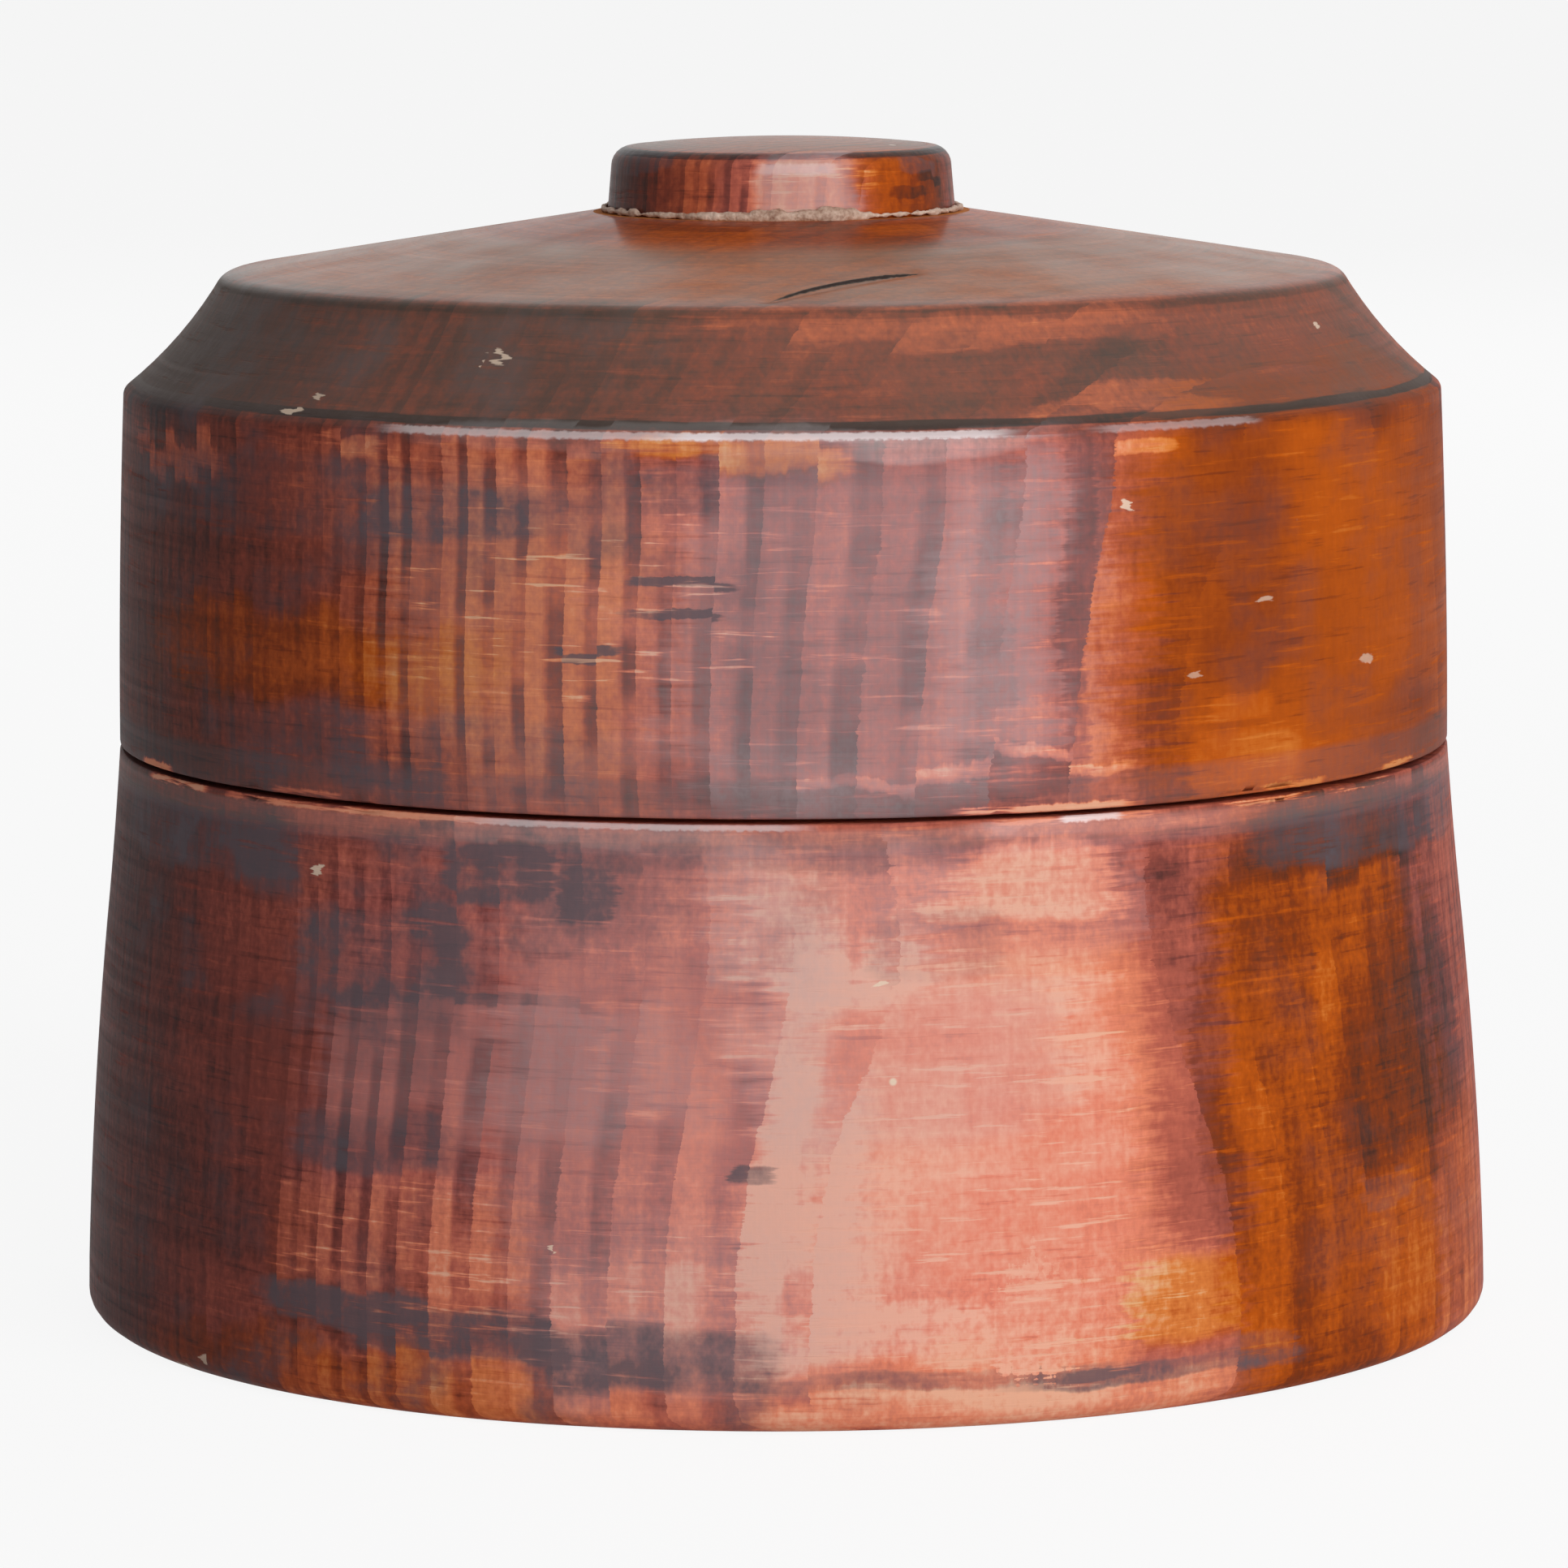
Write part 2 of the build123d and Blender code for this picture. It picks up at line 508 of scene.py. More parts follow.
lathe = bpy.data.node_groups.new("lathe", "GeometryNodeTree")
lathe_inputs = add_sockets(lathe, {
    "Section": "Geometry",
    "Facets": "Int",
    "Outside Start": "Float",
    "Outside End": "Float",
    "Out Of True": "Float",
    "Lip Along": "Float",
    "Chip Depth": "Float",
    "Crack Start": "Vector",
    "Crack End": "Vector",
    "Crack Depth": "Float",
    "Finish": "Material",
})


def fill_lathe():
    bench, take = open_tree(lathe, lathe_inputs)

    length = bench.node("GeometryNodeSplineParameter", None, None, "Length") / MM
    settings = {"data_type": "FLOAT", "domain": "POINT"}
    sockets = {"Geometry": take["Section"], "Name": "along", "Value": length - take["Outside Start"]}
    section = bench.node("GeometryNodeStoreNamedAttribute", settings, sockets)
    spin = {"Resolution": take["Facets"], "Radius": SPIN_RADIUS * MM}
    circle = bench.node("GeometryNodeCurvePrimitiveCircle", None, spin)
    body = bench.node("GeometryNodeCurveToMesh", None, {"Curve": circle, "Profile Curve": section})
    body = bench.node("GeometryNodeMergeByDistance", None, {"Geometry": body, "Distance": WELD_DISTANCE})
    body = bench.node("GeometryNodeFlipFaces", None, {"Mesh": body})

    place = bench.node("GeometryNodeInputPosition")
    along = bench.node("GeometryNodeInputNamedAttribute", {"data_type": "FLOAT"}, {"Name": "along"})
    outside = (along > -1.0) * (along < take["Outside End"] - take["Outside Start"])

    slow = bench.noise(bench.scaled(place, DRIFT_WAVES), 1.0)
    drift = (slow.math("MINIMUM", DRIFT_CREST) - DRIFT_CREST) * take["Out Of True"] * outside

    near_lip = (along - take["Lip Along"]).math("ABSOLUTE").rise(*LIP_REACH)
    slivers = bench.noise(bench.scaled(place, SLIVER_WAVES), 3.0)
    breaks = bench.noise(bench.scaled(place, BREAK_WAVES), 1.0)
    chip = near_lip * (slivers * CHIP_SHARE + breaks * CHIP_SHARE).rise(*CHIP_LEVELS) * outside

    span = bench.vector_math("SUBTRACT", take["Crack End"], take["Crack Start"])
    span_squared = bench.vector_math("DOT_PRODUCT", span, span)
    from_start = bench.vector_math("SUBTRACT", place, take["Crack Start"])
    share = bench.vector_math("DOT_PRODUCT", from_start, span) / span_squared
    nearest = bench.scaled(span, share.held(0.0, 1.0))
    gap = bench.vector_math("DISTANCE", from_start, nearest) / MM
    crack = gap.rise(CRACK_REACH, 0.0) * outside * (take["Crack Depth"] > 0.0)

    push = drift - chip * take["Chip Depth"] - crack * take["Crack Depth"]
    offset = bench.scaled(bench.node("GeometryNodeInputNormal"), push)
    body = bench.node("GeometryNodeSetPosition", None, {"Geometry": body, "Offset": offset})
    close_tree(bench, body, take["Finish"])


fill_lathe()
print("lathe has", len(lathe.nodes), "nodes")

# %% [markdown]
# To turn a piece, its section becomes a curve, the tree runs on it, and the evaluated result is
# kept as a plain mesh. A solid of revolution can come out inside out, so its volume is measured
# and printed: a negative one would show it.


# %% Turning
def plain_mesh(name, carrier):
    """The evaluated result of a carrier's modifiers, as a piece of its own."""
    graph = bpy.context.evaluated_depsgraph_get()
    mesh = bpy.data.meshes.new_from_object(carrier.evaluated_get(graph))
    mesh.name = name
    bpy.data.objects.remove(carrier)
    shape = bmesh.new()
    shape.from_mesh(mesh)
    open_edges = sum(1 for edge in shape.edges if len(edge.link_faces) != 2)
    volume = round(shape.calc_volume(signed=True) / MM**3)
    shape.free()
    triangles = sum(len(face.vertices) - 2 for face in mesh.polygons)
    print(name, triangles, "triangles,", open_edges, "open edges,", volume, "cubic mm")
    piece = bpy.data.objects.new(name, mesh)
    bpy.context.scene.collection.objects.link(piece)
    return piece


def curve_through(name, points):
    curve = bpy.data.curves.new(name, "CURVE")
    curve.dimensions = "3D"
    spline = curve.splines.new("POLY")
    spline.points.add(len(points) - 1)
    for point, place in zip(spline.points, points):
        point.co = (*place, 1.0)
    carrier = bpy.data.objects.new(name, curve)
    bpy.context.scene.collection.objects.link(carrier)
    return carrier


def work(name, carrier, tree, inputs, settings):
    """The piece that a tree makes of a curve."""
    modifier = carrier.modifiers.new(tree.name, "NODES")
    modifier.node_group = tree
    for socket, value in settings.items():
        modifier[inputs[socket]] = value
    return plain_mesh(name, carrier)


def turn(name, section, start, end, settings):
    """A piece turned from a section, whose outside runs from start to end along it."""
    flat = [((point.x - SPIN_RADIUS) * MM, -point.y * MM, 0.0) for point in section]
    settings = {"Outside Start": start, "Outside End": end, **settings}
    return work(name, curve_through(name + "_section", flat), lathe, lathe_inputs, settings)


# %% [markdown]
# The finish is a translucent stain. Where it is thin, the wood glows amber or salmon, and where
# it lies thick it is plum and nearly black. So one number, the depth of the stain, is enough for
# most of it, with two ramps from bare wood to black: an amber one and a rose one. A milky haze,
# which on the front is also painted sheen of the key lamp, and blue-grey ink stains lie over both.

# %% Stain ramps
AMBER = [
    (0.00, (0.78, 0.46, 0.22)),
    (0.20, (0.68, 0.21, 0.036)),
    (0.40, (0.50, 0.095, 0.006)),
    (0.60, (0.25, 0.044, 0.007)),
    (0.80, (0.10, 0.028, 0.013)),
    (1.00, (0.026, 0.014, 0.011)),
]
ROSE = [
    (0.00, (0.86, 0.48, 0.36)),
    (0.20, (0.80, 0.25, 0.165)),
    (0.40, (0.49, 0.137, 0.112)),
    (0.60, (0.245, 0.069, 0.064)),
    (0.80, (0.10, 0.036, 0.036)),
    (1.00, (0.030, 0.019, 0.022)),
]
# Haze: a milky bloom in the lacquer, which on the front also stands for painted sheen of the key lamp.
HAZE_AND_PAINTED_SHEEN = (0.50, 0.40, 0.41, 1.0)
INK = (0.120, 0.098, 0.112, 1.0)
DUST = (0.47, 0.36, 0.25, 1.0)
# Painted highlight colour for thin lines along edges.
PAINTED_EDGE_HIGHLIGHT = (0.86, 0.74, 0.74, 1.0)
BARE_WOOD = (0.46, 0.22, 0.09, 1.0)
SPECK = (0.80, 0.62, 0.48, 1.0)
print("ramps have", len(AMBER), "and", len(ROSE), "stops")

# %% [markdown]
# The wood's own pattern comes next. Growth rings are nearly flat layers through the block, which
# the turned surface cuts. Stains are patches, placed by their bearing round the piece and by how
# far along the section they lie, and both of these wobble, so that no edge comes out straight.
# Painted shade that changes slowly with bearing is drawn here too. So are thin lines at edges,
# which are bare wear in some places and painted highlights in others.

# %% Grain patterns
CLOSENESS = 0.4


class Grain:
    """The patterns of one turned and stained piece, measured in mm and degrees."""

    def __init__(self, bench, rings):
        self.bench = bench
        place = bench.node("ShaderNodeTexCoord", None, None, "Object")
        x, y, z = bench.parts(place)
        self.x, self.y, self.z = x / MM, y / MM, z / MM
        self.along = bench.node("ShaderNodeAttribute", {"attribute_name": "along"}, None, "Fac")
        self.bearing = bench.math("ARCTAN2", self.x, 0.0 - self.y) * math.degrees(1.0)
        # The bearing, folded back behind the piece so that it meets itself there
        self.folded = (self.bearing + 90.0).math("PINGPONG", 180.0) - 90.0
        self.cloud = self.field(0.03, 0.05, 3.0)
        self.fibre = self.field(1.3, 0.05, 3.0)
        self.grit = self.field(1.6, 1.3, 2.0)
        self.mottle = self.field(0.11, 0.13, 4.0)
        self.lathe = self.lathe_lines(0.012, 1.1, 4.0)
        self.dash = self.lathe_lines(0.11, 1.7, 3.0)
        self.find_rings(*rings)
        spot = bench.vector(self.x * 0.07, self.y * 0.07, self.along * 0.10)
        first, second, _ = bench.parts(bench.noise(spot, 4.0, 0.6, 1))
        sideways = first.swing(12.0) + self.dash.swing(9.0) + self.thirst.swing(4.0)
        upward = second.swing(6.0) + self.fibre.swing(1.0) + self.thirst.swing(3.0)
        self.loose = bench.vector(self.bearing + sideways, self.along + upward, 0.0)
        self.close_bearing = self.bearing + sideways * CLOSENESS
        self.close = bench.vector(self.close_bearing, self.along + upward * CLOSENESS, 0.0)

    def field(self, across, upright, detail):
        """Noise with one frequency across the grain and another along it, in waves to a mm."""
        spot = self.bench.vector(self.x * across, self.y * across, self.z * upright)
        return self.bench.noise(spot, detail)

    def lathe_lines(self, across, along, detail):
        """Noise drawn out round the piece, as tools and abrasive leave it."""
        spot = self.bench.vector(self.x * across, self.y * across, self.along * along)
        return self.bench.noise(spot, detail, 0.62)

    def find_rings(self, bearing, middle_spacing, bark_spacing, shift, leans, bump):
        """Growth rings as nearly flat layers that face that bearing. The leans tilt them, by mm to a
        mm, on the left and on the right. A bump (mm, height, half height) bends them where a branch
        grew near."""
        bench = self.bench
        turn = math.radians(bearing)
        bump_size, bump_height, bump_reach = bump
        off = (self.z - bump_height) / bump_reach
        bent = (0 - off * off).math("EXPONENT") * bump_size
        lean = leans[0] + self.folded.rise(-12.0, 8.0) * (leans[1] - leans[0])
        wander = self.field(0.012, 0.03, 2.0).swing(1.8) - bent - (self.z - bump_height) * lean
        depth = self.x * math.sin(turn) - self.y * math.cos(turn) + wander
        middle = 1 / middle_spacing
        bark = 1 / bark_spacing
        bend = (middle - bark) / (2 * seam_radius)
        number = depth * middle - depth * depth * bend + shift
        uneven = bench.noise(bench.vector(depth * 0.21, 3.3, 1.7), 1.0)
        number = number + uneven.swing(0.7) + self.fibre.swing(0.12) + self.dash.swing(0.14)
        ring = number.math("FLOOR")
        chances = bench.node("ShaderNodeTexWhiteNoise", {"noise_dimensions": "1D"}, {"W": ring}, 1)
        self.strength, self.thirst, _ = bench.parts(chances)
        stretch = bench.noise(bench.vector(ring * 7.31, self.z * 0.11, self.folded * 0.02), 2.0)
        self.late = number.math("FRACT").rise(0.46, 0.74) * (0.3 + stretch.rise(0.38, 0.60) * 0.7)

    def patches(self, at, soft, crisp, places):
        """The sum of squarish patches, each 1 inside and 0 outside, times its amount. A place is a
        bearing in degrees, mm along the section, half the width in degrees, half the height in mm,
        and the amount."""
        found = 0.0
        for bearing, along, half_width, half_height, amount in places:
            shrink = (1 / half_width, 1 / half_height, 0.0)
            shift = (-bearing / half_width, -along / half_height, 0.0)
            off = self.bench.vector_math("MULTIPLY_ADD", at, shrink, shift)
            square = self.bench.vector_math("MULTIPLY", off, off)
            reach = self.bench.vector_math("DOT_PRODUCT", square, square)
            found = reach.rise(soft, crisp).math("MULTIPLY_ADD", amount, found)
        return found

    def daubs(self, places):
        """Soft patches with ragged edges."""
        return self.patches(self.loose, 2.2, 0.1, places)

    def blots(self, places):
        """Crisper patches that keep closer to their places."""
        return self.patches(self.close, 1.7, 0.3, places)

    def wear_and_highlight_edge(self, along, half_height, arcs):
        """A thin straight line at an edge, over arcs given as (bearing, half width, amount).
        It marks bare wear at chipped lips, and it paints highlights along edges.
        """
        off = (self.along - along + self.grit.swing(0.5)).math("ABSOLUTE")
        return off.rise(half_height * 1.3, half_height * 0.6) * self.total(self.arc, arcs)

    def arc(self, bearing, half_width, amount):
        off = (self.close_bearing - bearing).math("ABSOLUTE")
        return off.rise(half_width * 1.15, half_width * 0.8) * amount

    def slit(self, start, end, half_width, sag):
        """A bowed line between two points given as (x, y), 1 in its middle and 0 beyond its width."""
        start = Vector(start)
        way = Vector(end) - start
        from_x = self.x - start.x
        from_y = self.y - start.y
        share = ((from_x * way.x + from_y * way.y) / way.length_squared).held(0.0, 1.0)
        bowed = share * (1 - share) * (4 * sag / way.length)
        off_x = from_x - share * way.x + bowed * way.y
        off_y = from_y - share * way.y - bowed * way.x
        gap = (off_x * off_x + off_y * off_y).math("SQRT") + self.grit.swing(half_width) * 0.6
        middle = share - 0.6
        return (gap + middle * middle * half_width * 2.2).rise(half_width, half_width * 0.4)

    def band(self, along, half_height, amount):
        """A band with nearly straight edges, all round the piece."""
        off = (self.along - along + self.dash.swing(0.8)).math("ABSOLUTE")
        return off.rise(half_height * 1.2, half_height * 0.7) * amount

    def total(self, make, patches):
        """The sum of many patches, 0 if there are none."""
        found = 0.0
        for patch in patches:
            found = make(*patch) + found
        return found

    def painted_shade(self, start, end, amount):
        """Painted shade: a slow change of stain from one bearing to another, with no edge."""
        return self.bearing.rise(start, end) * amount

    def painted_shades(self, top, patches):
        """Painted shade round the wall, darker away from the key lamp. It fades out where the section
        reaches the top.
        """
        return self.total(self.painted_shade, patches) * self.along.rise(top + 8.0, top)

    def bands(self, patches):
        return self.total(self.band, patches)


# %% [markdown]
# The finish puts these together. It adds up the depth of the stain, with painted shade in it,
# picks the colour from the two ramps, and lays haze with painted sheen, ink, dust, bare wear,
# painted edge highlights and specks over it. The hidden wood inside has only a thin wash. Most
# of the surface is dull, and a coat gives gloss where age has left some.

# %% Stained wood
LEAST_CONTRAST = 0.03
LEAST_DEPTH = 0.04
MOST_INK = 0.85
SPECK_CELLS = 0.055
SPECK_EDGE = (0.026, 0.014)
SHEEN = 0.035
COAT_ROUGHNESS = 0.16
BUMP_STRENGTH = 0.5
BUMP_DEPTH = 0.12 * MM


def stained_wood(name, look):
    """An old stained finish on softwood. look holds what is particular to one piece."""
    paint, bench = blank_paint(name)
    grain = Grain(bench, look["rings"])

    contrast = look["ring_contrast"] + grain.daubs(look["ring_daubs"]) + grain.bands(look["ring_bands"])
    contrast = contrast.math("MAXIMUM", LEAST_CONTRAST) * (grain.strength * 0.9 + 0.55)
    texture = grain.fibre.swing(0.20) + grain.lathe.swing(0.22) + grain.grit.swing(0.32)
    depth = look["stain"] + grain.cloud.swing(look["cloudiness"]) + (grain.late - 0.45) * contrast
    depth = depth + texture * (1 - grain.daubs(look["smooth_daubs"])) + grain.mottle.swing(0.22)
    depth = depth + grain.daubs(look["stain_daubs"]) + grain.bands(look["stain_bands"])
    # Painted shade: slow changes by bearing darken the stain on the sides away from the key lamp.
    depth = depth + grain.blots(look["stain_blots"]) + grain.painted_shades(look["top"], look["painted_shades"])
    pale_dash = grain.dash.rise(0.57, 0.70)
    dark_dash = grain.dash.rise(0.42, 0.30)
    depth = depth - pale_dash * (0.09 + grain.daubs(look["scratch_daubs"])) + dark_dash * 0.10
    crack = grain.slit(*look["crack"]) if "crack" in look else 0.0
    bare = grain.wear_and_highlight_edge(*look["bare_edge"]) * grain.dash.rise(0.40, 0.52)
    depth = depth.math("MAXIMUM", LEAST_DEPTH) * (1 - bare) + crack

    rose = look["rose"] + grain.daubs(look["rose_daubs"]) + grain.bands(look["rose_bands"])
    # The haze is milky lacquer, and on the front it is also painted sheen where the key lamp would
    # reflect.
    haze_and_sheen = grain.daubs(look["haze_and_sheen_daubs"]) + grain.bands(look["haze_and_sheen_bands"])
    haze_and_sheen = (haze_and_sheen * (0.6 + grain.grit * 0.8)).math("MAXIMUM", 0.0) * (1 - crack)
    soaked = 0.25 + grain.late * 0.25 + grain.mottle.rise(0.3, 0.6) * 0.5
    ink = grain.blots(look["ink_blots"]) * soaked
    ink = ink + grain.mottle.rise(0.46, 0.68) * grain.daubs(look["mottle_daubs"])
    ink = (ink * (0.55 + grain.grit * 0.8)).math("MINIMUM", MOST_INK)
    ink = ink * (1 - bare) * (1 - pale_dash * 0.5)

    colour = bench.blend(rose.held(0.0, 1.0), bench.ramp(AMBER, depth), bench.ramp(ROSE, depth))
    colour = bench.blend(haze_and_sheen, colour, HAZE_AND_PAINTED_SHEEN)
    colour = bench.blend(ink, colour, INK)
    dust = grain.bands(look["dust_bands"]) * (0.5 + grain.mottle) * (1 - crack)
    colour = bench.blend(dust, colour, DUST)
    # Painted highlight: pale lines along edges where the key lamp would glint.
    colour = bench.blend(grain.wear_and_highlight_edge(*look["painted_edge_highlight"]), colour, PAINTED_EDGE_HIGHLIGHT)
    spot = bench.vector(grain.x, grain.y, grain.z)
    cells = bench.node("ShaderNodeTexVoronoi", None, {"Vector": spot, "Scale": SPECK_CELLS})
    colour = bench.blend(cells.rise(*SPECK_EDGE), colour, SPECK)
    colour = bench.blend(grain.blots(look["flakes"]), colour, SPECK)

    hidden = look["hidden"](grain)
    thin = (grain.late - 0.4) * 0.2 + grain.fibre.swing(0.3) + grain.cloud.swing(0.4) + 0.34
    inner = bench.blend(0.45, bench.ramp(AMBER, thin), BARE_WOOD)
    colour = bench.blend(hidden, colour, inner)

    rough = look["rough"] + grain.lathe.swing(0.25) + hidden * 0.2 + pale_dash * 0.1
    raised = grain.fibre * 0.45 + grain.lathe * 0.8 + grain.grit * 0.3 + grain.late * 0.3
    height = raised - pale_dash * 0.4
    sockets = {"Strength": BUMP_STRENGTH, "Distance": BUMP_DEPTH, "Height": height}
    bump = bench.node("ShaderNodeBump", None, sockets)
    shader = bench.node("ShaderNodeBsdfPrincipled", None, {
        "Base Color": colour,
        "Roughness": rough,
        "Specular IOR Level": SHEEN,
        "Normal": bump,
        "Coat Weight": look["coat"](grain) * (1 - hidden) * (1 - crack),
        "Coat Roughness": COAT_ROUGHNESS,
    })
    bench.finish("ShaderNodeOutputMaterial", shader)
    print(name, "has", len(bench.tree.nodes), "nodes")
    return paint


# %% [markdown]
# The base is dark plum on the left, deepened by painted shade, rose in the middle, salmon on
# the broad flat of one growth ring, which is partly a painted sheen of the key lamp, and orange
# to purple on the right. A blue-grey band sweeps round above the foot, with bright amber below it.

# %% Base finish
base_outside_length = base_end - base_start
base_lip = base_outside_length - 3.9
base_look = {
    "rings": (19.5, 2.05, 2.82, 0.33, (-0.045, -0.045), (0.9, 36, 13)),
    "ring_contrast": 0.12,
    "ring_daubs": [
        (-18, 18, 20, 16, 0.12), (-72, 28, 28, 30, -0.06), (26, 40, 18, 7, -0.15),
        (52, 25, 16, 22, -0.02), (140, 24, 30, 30, 0.10), (-130, 30, 24, 20, 0.10),
    ],
    "ring_bands": [(52.5, 2.0, -0.1)],
    "stain": 0.48,
    "cloudiness": 0.4,
    "top": base_outside_length,
    # Painted shade: darker on the left side and a little at the right edge, and even behind.
    "painted_shades": [(-24, -74, 0.36), (44, 75, 0.06), (100, 150, -0.08), (-110, -160, -0.38)],
    "smooth_daubs": [(-25, 33, 26, 9, 0.5), (20, 28, 18, 14, 0.4)],
    "stain_blots": [(45, 24, 2.0, 22, 0.08), (35.5, 27, 1.6, 18, 0.08)],
    # The daub at bearing 12.5, along 24, lightens the broad flat of one ring to salmon, partly as a
    # painted sheen of the key lamp.
    "stain_daubs": [
        (-32, 16.5, 11, 6.5, -0.13), (-12, 13.5, 7, 3.0, -0.13), (-5, 28, 7, 22, -0.12),
        (3, 45, 7, 6, -0.2), (18, 47.8, 7, 3.4, -0.36), (12.5, 24, 15, 19, -0.36),
        (26, 45, 5, 5, 0.06), (38, 34, 6, 6, 0.08), (38, 48.5, 8, 3.5, 0.06),
        (56, 50.5, 14, 4.0, 0.28), (6, 9.5, 8, 2.5, -0.10), (44, 3, 12, 3, 0.06),
        (43, 41.5, 8, 2.5, 0.04), (54, 45, 16, 6, 0.05), (31, 11, 5, 3.5, -0.20),
        (24.5, 32, 3, 6, 0.08), (62, 29, 12, 10, 0.18), (43, 24, 7, 22, -0.02),
        (68, 12, 14, 9, -0.12), (-28, 4.0, 18, 2.4, -0.10), (-30, 10.5, 14, 2.5, 0.13),
        (16, 2.3, 18, 2.4, -0.32), (112, 16, 16, 12, -0.18), (150, 38, 14, 10, -0.22),
        (-150, 14, 18, 10, -0.2), (-120, 40, 16, 10, -0.16), (-95, 10, 12, 8, 0.12),
        (165, 8, 12, 5, 0.16),
    ],
    "stain_bands": [(53.2, 0.6, -0.1)],
    "rose": 0.7,
    # The rose daub at bearing 12, along 24, tints that same painted sheen.
    "rose_daubs": [
        (-32, 14, 12, 8, -0.2), (-14, 30, 26, 22, 0.3), (12, 24, 14, 16, 0.25),
        (16, 47, 12, 5, 0.15), (31, 10.5, 5, 3.5, -0.6), (16, 2.3, 20, 2.4, -0.05),
        (50, 25, 14, 27, -0.8), (66, 14, 14, 12, -0.4), (-40, 3, 20, 4, -0.4), (44, 3, 14, 3, -0.1),
        (112, 18, 18, 16, -0.6), (-150, 16, 20, 14, -0.6),
    ],
    "rose_bands": [(52.5, 1.5, 0.1)],
    # Haze on the front is partly painted sheen of the key lamp; behind, it is milky lacquer only.
    "haze_and_sheen_daubs": [
        (8, 33, 12, 7, 0.18), (2, 46, 9, 6, 0.24), (-8, 8, 12, 3, 0.12), (18, 46, 9, 5, 0.14),
        (14, 3, 24, 3, 0.08), (-10, 30, 13, 22, 0.20), (-24, 33, 15, 6, 0.16),
        (-6, 13, 14, 6, 0.08), (150, 38, 12, 9, 0.2), (-125, 38, 14, 9, 0.16),
    ],
    "haze_and_sheen_bands": [(52.8, 1.2, 0.12)],
    "ink_blots": [
        (-24, 49.5, 5, 2.4, 1.0), (-16, 48, 2.5, 2.4, 0.8), (-34, 42, 9, 4.0, 0.8),
        (-58, 50, 16, 3.0, 0.6), (-10, 52, 24, 1.8, 0.5), (62, 50.5, 20, 3.0, 0.7),
        (-21.5, 38.7, 7, 0.6, 0.8), (-34, 25.5, 8, 2.4, 0.8), (-3, 24.5, 1.8, 0.8, 1.0),
        (12, 43.5, 5, 3, 0.3), (-38, 10.8, 8, 1.8, 1.0), (-26, 9.6, 9, 2.2, 1.1),
        (-11, 8.4, 10, 2.8, 0.85), (12, 6, 14, 0.8, 0.55), (30, 5.4, 14, 0.9, 0.8),
        (40, 6.4, 4, 1.6, 0.8), (56, 18, 4, 1.6, 0.4), (128, 47, 12, 4, 0.9), (160, 20, 8, 6, 0.8),
        (-100, 44, 10, 6, 0.8), (-150, 6, 20, 2.4, 1.0), (110, 6, 16, 2.0, 0.9),
    ],
    "mottle_daubs": [
        (-44, 44, 26, 9, 0.62), (-50, 20, 24, 12, 0.26), (-30, 4, 30, 4, 0.65),
        (60, 28, 18, 20, 0.15), (-12, 46, 18, 6, 0.2), (130, 40, 30, 14, 0.5),
        (-130, 22, 34, 20, 0.5),
    ],
    "bare_edge": (base_lip, 0.42, [
        (-62, 6, 0.9), (-38, 14, 0.75), (24, 8, 0.5), (44, 5, 0.8), (57, 5, 0.8), (120, 20, 0.7),
        (-140, 16, 0.7),
    ]),
    # Painted highlight: a pale line along the front of the base's lip.
    "painted_edge_highlight": (base_lip, 0.36, [(-12, 14, 0.45), (25, 3, 0.7)]),
    "scratch_daubs": [(20, 22, 16, 16, 0.12), (-22, 14, 18, 7, 0.18), (140, 30, 24, 14, 0.16)],
    "dust_bands": [(53.2, 1.0, 0.06)],
    "flakes": [
        (-41, 48.8, 0.5, 0.4, 0.9), (-57.5, 2.2, 0.8, 0.4, 0.8), (-53.5, 3.4, 0.5, 0.5, 0.7),
        (7.5, 40.8, 0.4, 0.25, 0.9), (-18, 17.4, 0.3, 0.4, 0.8), (112, 30, 0.6, 0.4, 0.8),
        (-122, 20, 0.7, 0.4, 0.8),
    ],
    "rough": 0.55,
    "coat": lambda grain: grain.blots([(-16, 53.4, 12, 1.2, 0.9), (24, 53.4, 10, 1.0, 0.7)]),
    "hidden": lambda grain: (grain.along < -0.6) + (grain.along > base_outside_length),
}
base_wood = stained_wood("base_stain", base_look)
